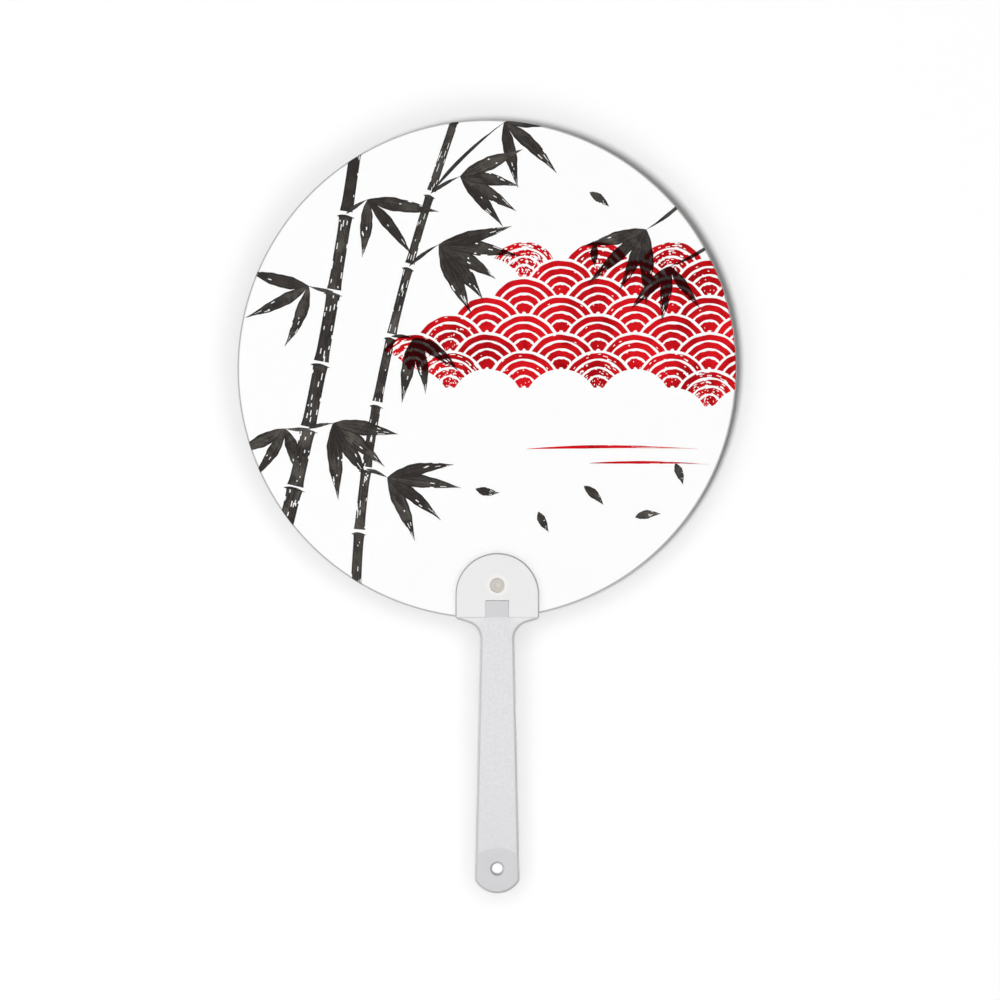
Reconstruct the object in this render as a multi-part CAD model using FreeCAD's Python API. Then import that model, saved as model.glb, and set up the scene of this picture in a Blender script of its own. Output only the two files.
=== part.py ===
import FreeCAD, Part
import math
import os

from FreeCAD import Vector

# A hand fan held upright. X runs to the right, Y to the back and Z up the handle.
# The origin is the middle of the hand's hold, on the handle's axis. Sizes are in millimetres.

# Blade: a round board between two printed sheets, all cut by one die
BLADE_DIAMETER = 175.0
CORE_THICKNESS = 0.8
SHEET_THICKNESS = 0.2
BLADE_SIDE_SHIFT = -3.6  # centre of the blade, left of the handle's axis
BLADE_DIP = 0.4  # lowest point of the rim, below the shoulder line

# Handle outline, seen from the front, with heights counted from the tip
HAND_HEIGHT = 52.0  # middle of the hand's hold
SHOULDER_HEIGHT = 96.6  # line where the neck ends and the head begins
NECK_WIDTH = 11.6  # width that the sides would have at the shoulder line
GRIP_END_WIDTH = 15.7
END_RISE = 4.6  # from the tip to where the straight sides begin
END_CORNER_RADIUS = 1.6
HEAD_WIDTH = 29.4
HEAD_HEIGHT = 22.6  # from the shoulder line to its round top
HEAD_CORNER_RADIUS = 1.3
HEAD_CORNER_DROP = 0.35  # lower corners of the head, below the shoulder line
SHOULDER_FALL = 17.0  # degrees, from the head's corner down to the flare
FLARE_RADIUS = 6.0
HANDLE_THICKNESS = 5.0  # over the grip panels
EDGE_RADIUS = 0.8

# Grip panels: raised, textured and alike on both faces, with a smooth end left below them
PANEL_RISE = 0.15
PANEL_MARGIN = 0.9
PANEL_START = 15.8  # highest point of the panel's arched lower end, above the tip
PANEL_ARCH = 2.2
PANEL_CORNER_RADIUS = 0.6

# Hang hole, through the smooth end
HANG_HOLE_DIAMETER = 3.7
HANG_HOLE_HEIGHT = 8.6
HANG_HOLE_CHAMFER = 0.7

# Key: a block on the handle that passes through the blade's notch and the cap
KEY_WIDTH = 8.0
KEY_HEIGHT = 6.0  # above the shoulder line
KEY_EDGE_RADIUS = 0.35

# Clamp cap: the front plate of the head
CAP_THICKNESS = 1.65
CAP_EDGE_RADIUS = 0.5
CAP_HOLE_CHAMFER = 0.2

# Blade pin: pushed in from behind, through the handle, the blade and the cap
PIN_DIAMETER = 4.8
PIN_HEIGHT = 11.3  # above the shoulder line
PIN_FLANGE_DIAMETER = 8.0
PIN_FLANGE_THICKNESS = 0.8
PIN_RECESS = 0.1  # its front end, behind the cap's face
PIN_EDGE_RADIUS = 0.2
PIN_DIMPLE_DIAMETER = 2.2
PIN_DIMPLE_DEPTH = 0.35

# Clearances
CAP_LAY_GAP = 0.1  # between the cap and the blade
CAP_SEAT_GAP = 0.1  # between the cap's lower edge and the shoulder
KEY_GAP = 0.1  # on each side of the key, in the blade and in the cap
RIM_GAP = 0.3  # between the blade's rim and its seat
BLADE_HOLE_GAP = 0.2
CAP_HOLE_GAP = 0.1
PIN_PRESS_GAP = 0.02
FLANGE_GAP = 0.1
FLANGE_RECESS = 0.1  # flange, below the handle's rear face
CUT_OVERRUN = 1.0  # how far a cutting shape runs past the faces it opens

# Places that follow from the sizes above
half_blade = CORE_THICKNESS / 2 + SHEET_THICKNESS
panel_front = -HANDLE_THICKNESS / 2
panel_rear = HANDLE_THICKNESS / 2
handle_front = panel_front + PANEL_RISE
handle_rear = panel_rear - PANEL_RISE
cap_rear = -(half_blade + CAP_LAY_GAP)
cap_front = cap_rear - CAP_THICKNESS
pin_front = cap_front + PIN_RECESS
pin_rear = handle_rear - FLANGE_RECESS
tip = -HAND_HEIGHT
shoulder = tip + SHOULDER_HEIGHT
head_half = HEAD_WIDTH / 2
head_low = shoulder - HEAD_CORNER_DROP
head_top = shoulder + HEAD_HEIGHT
dome_centre = head_top - head_half
key_top = shoulder + KEY_HEIGHT
pin_axis = shoulder + PIN_HEIGHT
blade_radius = BLADE_DIAMETER / 2
blade_centre = Vector(BLADE_SIDE_SHIFT, 0, shoulder - BLADE_DIP + blade_radius)
BACKWARD = Vector(0, 1, 0)


def point(x, z):
    """A point of an outline, which lies in the plane of the blade."""
    return Vector(x, 0, z)


def line(start, end):
    return Part.LineSegment(start, end).toShape()


def arc(start, middle, end):
    return Part.Arc(start, middle, end).toShape()


def plate(edges, front, rear):
    """The solid inside a closed outline, from its front plane to its rear plane."""
    face = Part.Face(Part.Wire(edges))
    face.translate(Vector(0, front, 0))
    return face.extrude(BACKWARD * (rear - front))


def round_bar(radius, centre_x, centre_z, front, rear):
    """A cylinder along Y between two planes."""
    return Part.makeCylinder(radius, rear - front, Vector(centre_x, front, centre_z), BACKWARD)


def block(half_width, bottom, top, front, rear):
    """A box centred on the handle's axis."""
    corner = Vector(-half_width, front, bottom)
    return Part.makeBox(2 * half_width, rear - front, top - bottom, corner)


def only_solid(shape):
    """The one solid of a shape, with faces that lie in one plane merged."""
    solids = shape.removeSplitter().Solids
    if len(solids) != 1:
        raise ValueError("a piece has to be one solid, but this one is %d" % len(solids))
    return solids[0]


def edges_in_plane(shape, y):
    """Edges that lie wholly in the plane at this depth."""
    return [edge for edge in shape.Edges if abs(edge.BoundBox.YMin - y) + abs(edge.BoundBox.YMax - y) < 1e-4]


def edges_along_depth(shape, x, z):
    """Edges along Y that pass through (x, z), on either side of the handle's axis."""
    found = []
    for edge in shape.Edges:
        box = edge.BoundBox
        off_axis = abs(abs(box.Center.x) - x) + abs(box.Center.z - z) + box.XLength + box.ZLength
        if off_axis < 1e-4:
            found.append(edge)
    return found


def side_slope():
    """How much the half width grows for each millimetre up the handle. It is negative."""
    return (NECK_WIDTH - GRIP_END_WIDTH) / 2 / (SHOULDER_HEIGHT - END_RISE)


def mirrored(p):
    return point(-p.x, p.z)


def arc_about(centre, start, end):
    """The shorter arc between two points that are equally far from a centre."""
    towards_middle = (start - centre) + (end - centre)
    return arc(start, centre + towards_middle.normalize() * (start - centre).Length, end)


def flare():
    """The hollow curve on the right between the side of the grip and the underside of the head: its
    centre, and the directions from there to the points where it leaves the side and the underside."""
    slope = side_slope()
    run = math.hypot(1, slope)
    fall = math.radians(SHOULDER_FALL)
    side = point(1 / run, -slope / run)
    under = point(math.sin(fall), -math.cos(fall))
    from_side = side.dot(point(NECK_WIDTH / 2, shoulder)) + FLARE_RADIUS
    from_under = under.dot(point(head_half, head_low)) + FLARE_RADIUS
    spread = side.x * under.z - side.z * under.x
    x = (from_side * under.z - from_under * side.z) / spread
    z = (from_under * side.x - from_side * under.x) / spread
    return point(x, z), -side, -under


def handle_outline():
    """The grip, the flare and the D-shaped head, from the lower left corner round to the left."""
    centre, sideways, upwards = flare()
    flare_start = centre + sideways * FLARE_RADIUS
    flare_end = centre + upwards * FLARE_RADIUS
    end_corner = point(GRIP_END_WIDTH / 2, tip + END_RISE)
    head_corner = point(head_half, head_low)
    dome_start = point(head_half, dome_centre)
    return [
        arc(mirrored(end_corner), point(0, tip), end_corner),
        line(end_corner, flare_start),
        arc_about(centre, flare_start, flare_end),
        line(flare_end, head_corner),
        line(head_corner, dome_start),
        arc(dome_start, point(0, head_top), mirrored(dome_start)),
        line(mirrored(dome_start), mirrored(head_corner)),
        line(mirrored(head_corner), mirrored(flare_end)),
        arc_about(mirrored(centre), mirrored(flare_end), mirrored(flare_start)),
        line(mirrored(flare_start), mirrored(end_corner)),
    ]


def handle_blank():
    """The whole outline between the plain faces, with its corners and both rims rounded."""
    blank = plate(handle_outline(), handle_front, handle_rear)
    end_corners = edges_along_depth(blank, GRIP_END_WIDTH / 2, tip + END_RISE)
    blank = blank.makeFillet(END_CORNER_RADIUS, end_corners)
    head_corners = edges_along_depth(blank, head_half, head_low)
    blank = blank.makeFillet(HEAD_CORNER_RADIUS, head_corners)
    rims = edges_in_plane(blank, handle_front) + edges_in_plane(blank, handle_rear)
    return blank.makeFillet(EDGE_RADIUS, rims)


def grip_panel():
    """The raised panel, as one plate through the whole handle: it keeps a margin to the sides, the flare
    and the underside of the head, and ends in an arch below and at the shoulder line above."""
    centre, sideways, upwards = flare()
    inner_radius = FLARE_RADIUS + PANEL_MARGIN
    side_end = centre + sideways * inner_radius
    flare_end = centre + upwards * inner_radius
    climb = shoulder - flare_end.z
    top_corner = point(flare_end.x + climb / math.tan(math.radians(SHOULDER_FALL)), shoulder)
    start = tip + PANEL_START
    spring = start - PANEL_ARCH
    low_corner = point(side_end.x + side_slope() * (spring - side_end.z), spring)
    outline = [
        arc(mirrored(low_corner), point(0, start), low_corner),
        line(low_corner, side_end),
        arc_about(centre, side_end, flare_end),
        line(flare_end, top_corner),
        line(top_corner, mirrored(top_corner)),
        line(mirrored(top_corner), mirrored(flare_end)),
        arc_about(mirrored(centre), mirrored(flare_end), mirrored(side_end)),
        line(mirrored(side_end), mirrored(low_corner)),
    ]
    panel = plate(outline, panel_front, panel_rear)
    return panel.makeFillet(PANEL_CORNER_RADIUS, edges_along_depth(panel, low_corner.x, low_corner.z))


def with_hang_hole(handle):
    """The hole for a cord, with a chamfer at both of its mouths."""
    radius = HANG_HOLE_DIAMETER / 2
    mouth_radius = radius + HANG_HOLE_CHAMFER
    height = tip + HANG_HOLE_HEIGHT
    handle = handle.cut(round_bar(radius, 0, height, handle_front, handle_rear))
    for face, inward in ((handle_front, BACKWARD), (handle_rear, -BACKWARD)):
        mouth = Part.makeCone(mouth_radius, radius, HANG_HOLE_CHAMFER, Vector(0, face, height), inward)
        handle = handle.cut(mouth)
    return handle


def key_block():
    """The key, from the panel's front face back to the rear jaw, with its front edges rounded."""
    root = shoulder - EDGE_RADIUS - CUT_OVERRUN
    key = block(KEY_WIDTH / 2, root, key_top, panel_front, half_blade)
    front_edges = [edge for edge in edges_in_plane(key, panel_front) if edge.BoundBox.ZMax > root + 1e-4]
    return key.makeFillet(KEY_EDGE_RADIUS, front_edges)


def make_handle_body():
    """Grip, neck, rear jaw and key in one moulding."""
    handle = with_hang_hole(handle_blank()).fuse(grip_panel())
    above_head = head_top + CUT_OVERRUN
    beside_head = head_half + CUT_OVERRUN
    handle = handle.cut(block(beside_head, shoulder, above_head, panel_front - CUT_OVERRUN, -half_blade))
    seat = round_bar(blade_radius + RIM_GAP, blade_centre.x, blade_centre.z, -half_blade, half_blade)
    handle = handle.cut(seat)
    handle = handle.fuse(key_block())
    pin_bore = round_bar(PIN_DIAMETER / 2 + PIN_PRESS_GAP, 0, pin_axis, 0, handle_rear + CUT_OVERRUN)
    flange_floor = pin_rear - PIN_FLANGE_THICKNESS
    flange_radius = PIN_FLANGE_DIAMETER / 2 + FLANGE_GAP
    counterbore = round_bar(flange_radius, 0, pin_axis, flange_floor, handle_rear + CUT_OVERRUN)
    return only_solid(handle.cut(pin_bore).cut(counterbore))


def notch(front, rear):
    """The space that the key needs in the blade or the cap, open at the lower end."""
    below = shoulder - BLADE_DIP - CUT_OVERRUN
    return block(KEY_WIDTH / 2 + KEY_GAP, below, key_top + KEY_GAP, front, rear)


def make_clamp_cap():
    """The D-shaped front plate, with a hole for the pin and a notch for the key."""
    lower_edge = shoulder + CAP_SEAT_GAP
    low_right = point(head_half, lower_edge)
    low_left = point(-head_half, lower_edge)
    dome_right = point(head_half, dome_centre)
    dome_left = point(-head_half, dome_centre)
    outline = [
        line(low_left, low_right),
        line(low_right, dome_right),
        arc(dome_right, point(0, head_top), dome_left),
        line(dome_left, low_left),
    ]
    cap = plate(outline, cap_front, cap_rear)
    rim = [edge for edge in edges_in_plane(cap, cap_front) if edge.BoundBox.ZMax > lower_edge + 1e-4]
    cap = cap.makeFillet(CAP_EDGE_RADIUS, rim)
    cap = cap.cut(notch(cap_front - CUT_OVERRUN, cap_rear + CUT_OVERRUN))
    hole_radius = PIN_DIAMETER / 2 + CAP_HOLE_GAP
    cap = cap.cut(round_bar(hole_radius, 0, pin_axis, cap_front - CUT_OVERRUN, cap_rear + CUT_OVERRUN))
    mouth_radius = hole_radius + CAP_HOLE_CHAMFER
    mouth = Part.makeCone(
        mouth_radius, hole_radius, CAP_HOLE_CHAMFER, Vector(0, cap_front, pin_axis), BACKWARD
    )
    return only_solid(cap.cut(mouth))


def make_blade_pin():
    """A round pin with a flange behind and a small dimple in its front end."""
    radius = PIN_DIAMETER / 2
    shank = round_bar(radius, 0, pin_axis, pin_front, pin_rear)
    shank = shank.makeFillet(PIN_EDGE_RADIUS, edges_in_plane(shank, pin_front)[:1])
    flange_front = pin_rear - PIN_FLANGE_THICKNESS
    flange = round_bar(PIN_FLANGE_DIAMETER / 2, 0, pin_axis, flange_front, pin_rear)
    dimple_half = PIN_DIMPLE_DIAMETER / 2
    ball_radius = (dimple_half ** 2 + PIN_DIMPLE_DEPTH ** 2) / (2 * PIN_DIMPLE_DEPTH)
    ball = Part.makeSphere(ball_radius, Vector(0, pin_front + PIN_DIMPLE_DEPTH - ball_radius, pin_axis))
    return only_solid(shank.fuse(flange).cut(ball))


def blade_layer(front, rear):
    """One layer of the blade, with the hole for the pin and the notch for the key."""
    disc = round_bar(blade_radius, blade_centre.x, blade_centre.z, front, rear)
    hole_radius = PIN_DIAMETER / 2 + BLADE_HOLE_GAP
    hole = round_bar(hole_radius, 0, pin_axis, front - CUT_OVERRUN, rear + CUT_OVERRUN)
    return disc.cut(hole).cut(notch(front - CUT_OVERRUN, rear + CUT_OVERRUN))


def make_blade_core():
    return only_solid(blade_layer(-CORE_THICKNESS / 2, CORE_THICKNESS / 2))


def make_front_print_sheet():
    return only_solid(blade_layer(-half_blade, -CORE_THICKNESS / 2))


def make_rear_print_sheet():
    return only_solid(blade_layer(CORE_THICKNESS / 2, half_blade))


PIECES = {
    "handle_body": make_handle_body,
    "clamp_cap": make_clamp_cap,
    "blade_pin": make_blade_pin,
    "blade_core": make_blade_core,
    "front_print_sheet": make_front_print_sheet,
    "rear_print_sheet": make_rear_print_sheet,
}

os.makedirs("parts", exist_ok=True)
for name, make in PIECES.items():
    make().exportStep("parts/%s.step" % name)
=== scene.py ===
import math

import bpy
import numpy as np
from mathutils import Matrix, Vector


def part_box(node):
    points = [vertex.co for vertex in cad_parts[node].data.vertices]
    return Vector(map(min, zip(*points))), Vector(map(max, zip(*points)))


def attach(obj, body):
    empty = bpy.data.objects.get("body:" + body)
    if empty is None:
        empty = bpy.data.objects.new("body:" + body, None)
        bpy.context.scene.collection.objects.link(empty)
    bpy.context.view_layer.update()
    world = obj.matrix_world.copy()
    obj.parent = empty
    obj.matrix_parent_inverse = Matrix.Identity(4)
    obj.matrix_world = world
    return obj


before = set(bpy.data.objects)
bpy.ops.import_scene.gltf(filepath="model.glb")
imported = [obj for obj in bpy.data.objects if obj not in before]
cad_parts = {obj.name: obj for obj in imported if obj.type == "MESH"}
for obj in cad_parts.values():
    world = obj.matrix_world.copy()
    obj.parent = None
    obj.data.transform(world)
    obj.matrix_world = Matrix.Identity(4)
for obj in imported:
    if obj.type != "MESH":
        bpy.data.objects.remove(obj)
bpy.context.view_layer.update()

bl_info = {
    "name": "Round hand fan",
    "version": (1, 0, 0),
    "blender": (4, 5, 0),
    "location": "View3D > Sidebar > Fan",
    "description": "Dresses a packed hand fan with plastics, coated sheets, a printed pattern and a studio",
    "category": "Object",
}

# Facts of the frame, in metres. The blade lies in the X and Z plane, and its front looks to -Y.
MM = 0.001
FAN_BODY = "fan"
SHEET_LOW, SHEET_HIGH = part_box("front_print_sheet")
BLADE_RADIUS = (SHEET_HIGH.x - SHEET_LOW.x) / 2
BLADE_X = (SHEET_HIGH.x + SHEET_LOW.x) / 2
BLADE_Z = SHEET_HIGH.z - BLADE_RADIUS
FRONT_FACE = SHEET_LOW.y
REAR_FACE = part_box("rear_print_sheet")[1].y
PIN_LOW, PIN_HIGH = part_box("blade_pin")
PIN_Z = (PIN_LOW.z + PIN_HIGH.z) / 2
CAP_LOW, CAP_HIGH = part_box("clamp_cap")
CAP_DOME_Z = CAP_HIGH.z - CAP_HIGH.x
HANDLE_LOW, HANDLE_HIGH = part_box("handle_body")
# The middle of the hang hole lies this far above the handle's tip
HANG_HOLE_HEIGHT = 8.6 * MM
HANG_HOLE_Z = HANDLE_LOW.z + HANG_HOLE_HEIGHT

# The ink films: the seed of the drawn values, the clear strip at the rim, how far the print reaches under
# the cap, and how far a film's underside lies in the sheet
PRINT_SEED = 7
RIM_MARGIN = 0.15 * MM
UNDER_CAP_MARGIN = 1.5 * MM
FILM_SINK = 0.01 * MM
# Strokes that cross lie at levels of their own, in shares of the film's height, and so do twigs and leaves
STROKE_LEVELS = 8
STROKE_LIFT = 0.02
TWIG_LAYER = 1.2
LEAF_LAYER = 1.45

# Steps of the grids: across and along a wave's band, and along and across a stroke and a cane's joint
WAVE_STEPS = (8, 27)
STROKE_STEPS = (37, 13)
CANE_STEPS = (37, 15)
# Sines along a mark, by their turns: those that make its edges waver, with their sizes, and those that make
# the brush's hairs run dry
WAVE_WAVER, WAVE_WAVER_SIZES = (1.5, 4.3), (0.010, 0.006)
STROKE_WAVER, STROKE_WAVER_SIZES = (2.7, 6.1), (0.05, 0.03)
WAVE_HAIRS = (1.3, 3.1, 6.7)
STROKE_HAIRS = (1.1, 2.9)
CANE_HAIRS = (0.7, 1.9, 4.1)
# A hair leaves no ink where its sines add up to more than the first value, which a dry brush lowers by up to
# the second
WAVE_WET, WAVE_DRY = 3.0, 2.3
STROKE_WET, STROKE_DRY = 2.1, 1.5
CANE_WET = 2.05
# Dryness of the wave scales near the bank's border, the depth over which it fades, and each scale's own share
BORDER_DRYNESS, BORDER_DEPTH, OWN_DRYNESS = 0.85, 9 * MM, 0.12
# Dryness of the strokes, and the share of a stroke where it starts, with the share over which it grows
LINE_DRYNESS, TWIG_DRYNESS, LEAF_DRYNESS = 0.9, 0.2, 0.5
DRY_START, DRY_RUN = 0.35, 0.6
# The least half width and bend of a stroke, and the exponents and taper of its swell
STROKE_EDGE = 0.05 * MM
LEAST_BEND = 0.02
SWELL_ALONG, SWELL_ACROSS, SWELL_TAPER = 0.8, 1.15, 0.15
# The brush coordinates of each stroke and joint are shifted by twice a whole number below this
BRUSH_SHIFTS = 9

# Waves: the bands of a scale in shares of its radius, the rows and columns of scales on each side of the
# blade's middle, and the number of rows whose scales can cover one point
WAVE_BANDS = ((0.05, 0.28), (0.34, 0.50), (0.56, 0.72), (0.78, 0.93))
WAVE_ROWS = 16
WAVE_COLUMNS = 5
COVERING_ROWS = 5
# The bank of waves, in millimetres: height and slope of its middle line; size, start and length of the line's
# swing; left end and run of its widening; and full half height, exponent of the widening and inset
BANK_HEIGHT, BANK_SLOPE = 3.0, 0.10
SWING_SIZE, SWING_START, SWING_LENGTH = 6.0, -12.0, 26.0
WIDENING_START, WIDENING_RUN = -48.0, 62.0
HALF_HEIGHT, WIDENING_POWER, BANK_INSET = 27.0, 1.15, 3.0

# Canes: the two ends about the control point of a curve, the number of joints, and the width, in millimetres
CANES = (
    ((-72, -60), (-58, -8), (-45, 84), 6, 6.2),
    ((-46, -78), (-44, -6), (-11, 88), 7, 4.2),
)
# The gap between joints as a share of the curve, a joint's waist and the flare of its ends as shares of the
# width, and how much a cane narrows upwards
CANE_GAP = 0.010
CANE_WAIST, CANE_FLARE = 0.86, 0.14
CANE_TAPER = 0.25
# Knots under the gaps: drop in gaps, reach in cane widths, tilt, width and bend
KNOT_DROP, KNOT_REACH = 0.7, 1.3
KNOT_TILT, KNOT_WIDTH, KNOT_BEND = 12, 1.0, -24.0
# Twigs on the canes: the cane, the joint's number, the heading in degrees and the length, and then the
# heading, number and relative size of the leaves at its end
CANE_TWIGS = (
    (0, 5, 42, 9, -52, 3, 0.90),
    (0, 4, 175, 9, -146, 3, 0.85),
    (0, 2, 188, 8, -112, 3, 0.80),
    (0, 2, 20, 9, -46, 4, 1.00),
    (1, 6, 38, 12, -10, 4, 0.95),
    (1, 6, 52, 36, -34, 3, 0.85),
    (1, 5, 44, 13, -26, 5, 1.05),
    (1, 4, 4, 8, -66, 3, 0.90),
    (1, 2, -14, 8, -22, 4, 0.95),
)
# Twigs from the rim: the start, the heading and the length, and then the leaves in the same way
RIM_TWIGS = (
    (70, 60, 226, 18, -126, 4, 0.95),
    (79, 44, 216, 17, -98, 3, 0.78),
)
TWIG_WIDTH, TWIG_BEND = 1.3, -16.0
# Leaves of a twig: half of their fan and its scatter in degrees, and the ranges of their relative lengths and
# widths and of their bends
LEAF_FAN, LEAF_SCATTER = 40, 6
LEAF_LENGTHS, LEAF_WIDTHS, LEAF_BENDS = (0.8, 1.12), (0.9, 1.2), (-22, 6)
# Single strokes: the start, the heading, the length, the width and the bend
LOOSE_LEAVES = (
    (34, -41, -35, 9.5, 3.2, -18),
    (18, -50, -70, 8.0, 3.0, 14),
    (52, -52, 20, 9.0, 3.1, -24),
    (-4, -42, -20, 8.5, 3.0, 22),
    (66, -33, -64, 8.0, 2.9, -12),
    (36, 62, -28, 8.5, 3.0, -16),
    (38, 44, -100, 8.0, 2.9, 18),
)
RED_LINES = (
    (14, -28, 3, 60, 1.1, -6),
    (36, -33, 2, 42, 0.9, -5),
)
# The specular level of both inks
INK_GLOSS = 0.05

# The stage, in metres and watts: half the floor's width, its steps, and the radius of its opening behind the
# hang hole
FLOOR_REACH, FLOOR_STEPS = 0.6, 9
FLOOR_OPENING = 3 * MM
# Fill lights: their number and size, and how far their ring lies off the middle of the view
FILL_COUNT, FILL_SIZE, FILL_X, FILL_Z = 8, 2.8, 0.12, 0.15
# Rear lights: the name, the power and the place from the middle of the view
REAR_LIGHT_SIZE = 1.2
REAR_LIGHTS = (
    ("rear_light_left", 29.0, (-1.0, 1.5, 0.7)),
    ("rear_light_right", 15.0, (1.2, 1.4, 0.2)),
)
# Side lights: the name and the side
SIDE_LIGHTS = (("side_light_left", -1.0), ("side_light_right", 1.0))
SIDE_LIGHT_POWER, SIDE_LIGHT_SIZE, SIDE_LIGHT_DISTANCE = 14.0, 0.5, 2.0
# The strength of the world's light on the fan, and the width of the camera's sensor in millimetres
SURROUND_GLOW = 0.01
SENSOR_WIDTH = 36.0


class FanPrintSettings(bpy.types.PropertyGroup):
    """Sizes and colours of the printed pattern."""

    wave_radius: bpy.props.FloatProperty(
        name="Wave radius", description="Radius of one wave scale",
        default=0.013, min=0.004, unit="LENGTH",
    )
    leaf_length: bpy.props.FloatProperty(
        name="Leaf length", description="Length of a full leaf",
        default=0.027, min=0.005, unit="LENGTH",
    )
    leaf_width: bpy.props.FloatProperty(
        name="Leaf width", description="Width of a full leaf",
        default=0.0049, min=0.001, unit="LENGTH",
    )
    red_film: bpy.props.FloatProperty(
        name="Red film", description="Height of the red ink on the sheet",
        default=0.00002, min=0.0, unit="LENGTH",
    )
    dark_film: bpy.props.FloatProperty(
        name="Dark film", description="Height of the dark ink on the sheet",
        default=0.00004, min=0.0, unit="LENGTH",
    )
    red: bpy.props.FloatVectorProperty(
        name="Red", description="Red ink where it is thin",
        default=(0.72, 0.0093, 0.0155), min=0, max=1, subtype="COLOR",
    )
    deep_red: bpy.props.FloatVectorProperty(
        name="Deep red", description="Red ink where it pools",
        default=(0.277, 0.002, 0.004), min=0, max=1, subtype="COLOR",
    )
    charcoal: bpy.props.FloatVectorProperty(
        name="Charcoal", description="Dark ink",
        default=(0.031, 0.027, 0.026), min=0, max=1, subtype="COLOR",
    )
    washed_charcoal: bpy.props.FloatVectorProperty(
        name="Washed charcoal", description="Dark ink where it is thin",
        default=(0.135, 0.124, 0.108), min=0, max=1, subtype="COLOR",
    )
    ink_over_red: bpy.props.FloatVectorProperty(
        name="Ink over red", description="Dark ink on top of red ink",
        default=(0.031, 0.00125, 0.00185), min=0, max=1, subtype="COLOR",
    )


class FanMaterialSettings(bpy.types.PropertyGroup):
    """Colours of the plastics, the sheets and the board."""

    handle: bpy.props.FloatVectorProperty(
        name="Handle", description="Milky plastic of the handle",
        default=(0.728, 0.728, 0.745), min=0, max=1, subtype="COLOR",
    )
    cap: bpy.props.FloatVectorProperty(
        name="Cap", description="Milky plastic of the clamp cap",
        default=(0.812, 0.812, 0.810), min=0, max=1, subtype="COLOR",
    )
    pin: bpy.props.FloatVectorProperty(
        name="Pin", description="Natural plastic of the blade pin",
        default=(0.600, 0.570, 0.524), min=0, max=1, subtype="COLOR",
    )
    sheet: bpy.props.FloatVectorProperty(
        name="Sheet", description="Coated white sheet",
        default=(0.950, 0.950, 0.949), min=0, max=1, subtype="COLOR",
    )
    board: bpy.props.FloatVectorProperty(
        name="Board", description="Cut edge of the board",
        default=(0.80, 0.79, 0.76), min=0, max=1, subtype="COLOR",
    )


class FanStageSettings(bpy.types.PropertyGroup):
    """Camera, floor and lights."""

    view_width: bpy.props.FloatProperty(
        name="View width", description="Width of the picture at the blade",
        default=0.3507, min=0.1, unit="LENGTH",
    )
    view_x: bpy.props.FloatProperty(
        name="View centre X", description="Middle of the picture, sideways",
        default=0.00095, unit="LENGTH",
    )
    view_z: bpy.props.FloatProperty(
        name="View centre Z", description="Middle of the picture, upwards",
        default=0.0858, unit="LENGTH",
    )
    lens: bpy.props.FloatProperty(
        name="Lens", description="Focal length in millimetres",
        default=200.0, min=10.0,
    )
    tip_gap: bpy.props.FloatProperty(
        name="Tip gap", description="From the handle's middle plane to the floor at its tip",
        default=0.0030, min=0.0028, unit="LENGTH",
    )
    blade_gap: bpy.props.FloatProperty(
        name="Blade gap", description="From the blade's middle plane to the floor at its centre",
        default=0.0070, min=0.003, unit="LENGTH",
    )
    key_tilt: bpy.props.FloatProperty(
        name="Key tilt", description="Angle between the key light and the view",
        default=math.radians(18.8), min=0.0, subtype="ANGLE",
    )
    key_turn: bpy.props.FloatProperty(
        name="Key turn", description="Direction in the picture in which the key light travels",
        default=math.radians(22), subtype="ANGLE",
    )
    key_distance: bpy.props.FloatProperty(
        name="Key distance", description="From the blade's centre to the key light",
        default=10.0, min=0.5, unit="LENGTH",
    )
    key_size: bpy.props.FloatProperty(
        name="Key size", description="Diameter of the key light",
        default=3.3, min=0.0, unit="LENGTH",
    )
    key_power: bpy.props.FloatProperty(
        name="Key power", description="Power of the key light",
        default=679.0, min=0.0, unit="POWER",
    )
    fill_power: bpy.props.FloatProperty(
        name="Fill power", description="Power of the ring of soft lights",
        default=167.0, min=0.0, unit="POWER",
    )
    fill_distance: bpy.props.FloatProperty(
        name="Fill distance", description="From the fan to the soft lights",
        default=5.0, min=0.5, unit="LENGTH",
    )
    fill_spread: bpy.props.FloatProperty(
        name="Fill spread", description="Angle between the view and the soft lights",
        default=math.radians(50), subtype="ANGLE",
    )


def outlet(value):
    """The first output of a node, or the value as it is."""
    return value.outputs[0] if isinstance(value, bpy.types.Node) else value


def add_node(tree, kind, settings=None, inputs=None):
    """A shader node with its settings, and its inputs as values or as other nodes' outputs."""
    made = tree.nodes.new(kind)
    for name, value in (settings or {}).items():
        setattr(made, name, value)
    for name, value in (inputs or {}).items():
        source = outlet(value)
        if isinstance(source, bpy.types.NodeSocket):
            tree.links.new(source, made.inputs[name])
        else:
            made.inputs[name].default_value = source
    return made


def math_node(tree, operation, first, second=0.0, clamp=False):
    """A sum, product or the like of two values or outputs."""
    settings = {"operation": operation, "use_clamp": clamp}
    return add_node(tree, "ShaderNodeMath", settings, {0: first, 1: second})


def plus(tree, first, second, clamp=False):
    return math_node(tree, "ADD", first, second, clamp)


def minus(tree, first, second):
    return math_node(tree, "SUBTRACT", first, second)


def times(tree, first, second, clamp=False):
    return math_node(tree, "MULTIPLY", first, second, clamp)


def larger(tree, first, second):
    return math_node(tree, "MAXIMUM", first, second)


def mix_colours(tree, factor, first, second):
    """The colour between two colours, each a colour or an output."""
    def colour(value):
        return value if isinstance(outlet(value), bpy.types.NodeSocket) else (*value, 1.0)

    inputs = {0: factor, 6: colour(first), 7: colour(second)}
    return add_node(tree, "ShaderNodeMix", {"data_type": "RGBA"}, inputs).outputs[2]


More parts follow.
